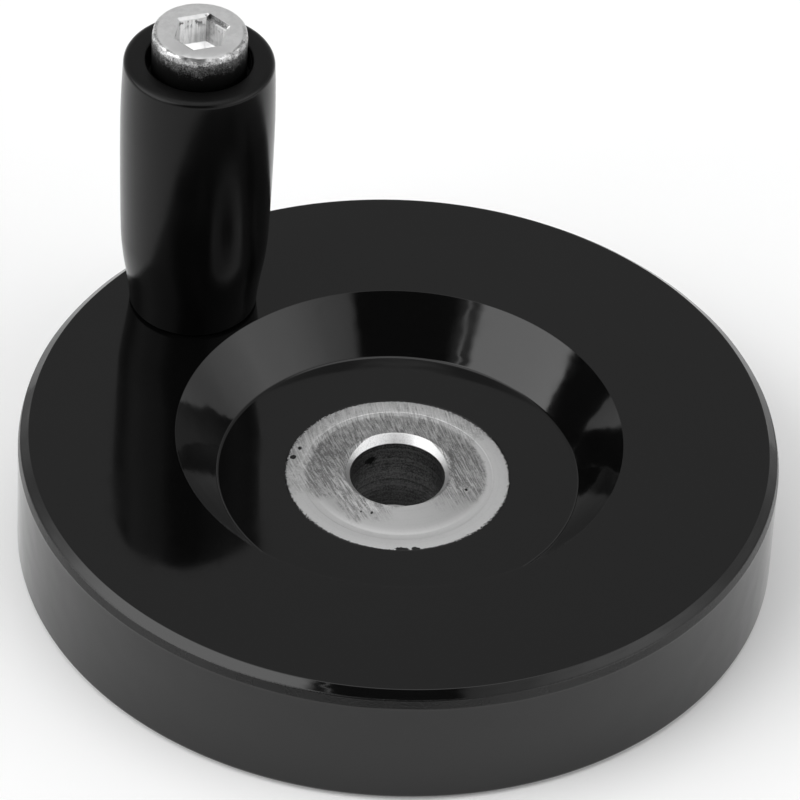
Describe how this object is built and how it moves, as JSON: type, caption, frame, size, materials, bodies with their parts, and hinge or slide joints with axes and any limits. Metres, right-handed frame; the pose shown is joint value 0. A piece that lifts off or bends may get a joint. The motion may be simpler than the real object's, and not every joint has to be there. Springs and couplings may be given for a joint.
{
  "type": "machine handwheel",
  "caption": "Solid-disc handwheel with a dished face, a metal bush with a plain bore, and a revolving barrel grip near the rim.",
  "frame": {"origin": "on the bore axis, in the plane of the wheel's underside", "axes": "+Z along the bore out of the dished face, +X from the bore axis towards the handle"},
  "size_m": [0.08, 0.08, 0.0503],
  "materials": {
    "wheel_phenolic": "polished black phenolic moulding",
    "grip_phenolic": "glossy black phenolic",
    "bush_steel": "turned metal, scratched and worn",
    "screw_zinc": "zinc-plated steel, bright and worn at the edge",
    "insert_brass": "plain brass"
  },
  "bodies": {
    "wheel": {"wheel_body": "wheel_phenolic", "hub_bush": "bush_steel", "handle_insert": "insert_brass", "handle_screw": "screw_zinc"},
    "grip": {"handle_grip": "grip_phenolic"}
  },
  "joints": [
    {"name": "grip_spin", "type": "hinge", "parent": "wheel", "child": "grip", "pos_m": [0.0309, 0, 0.03], "axis": [0, 0, 1], "continuous": true}
  ]
}
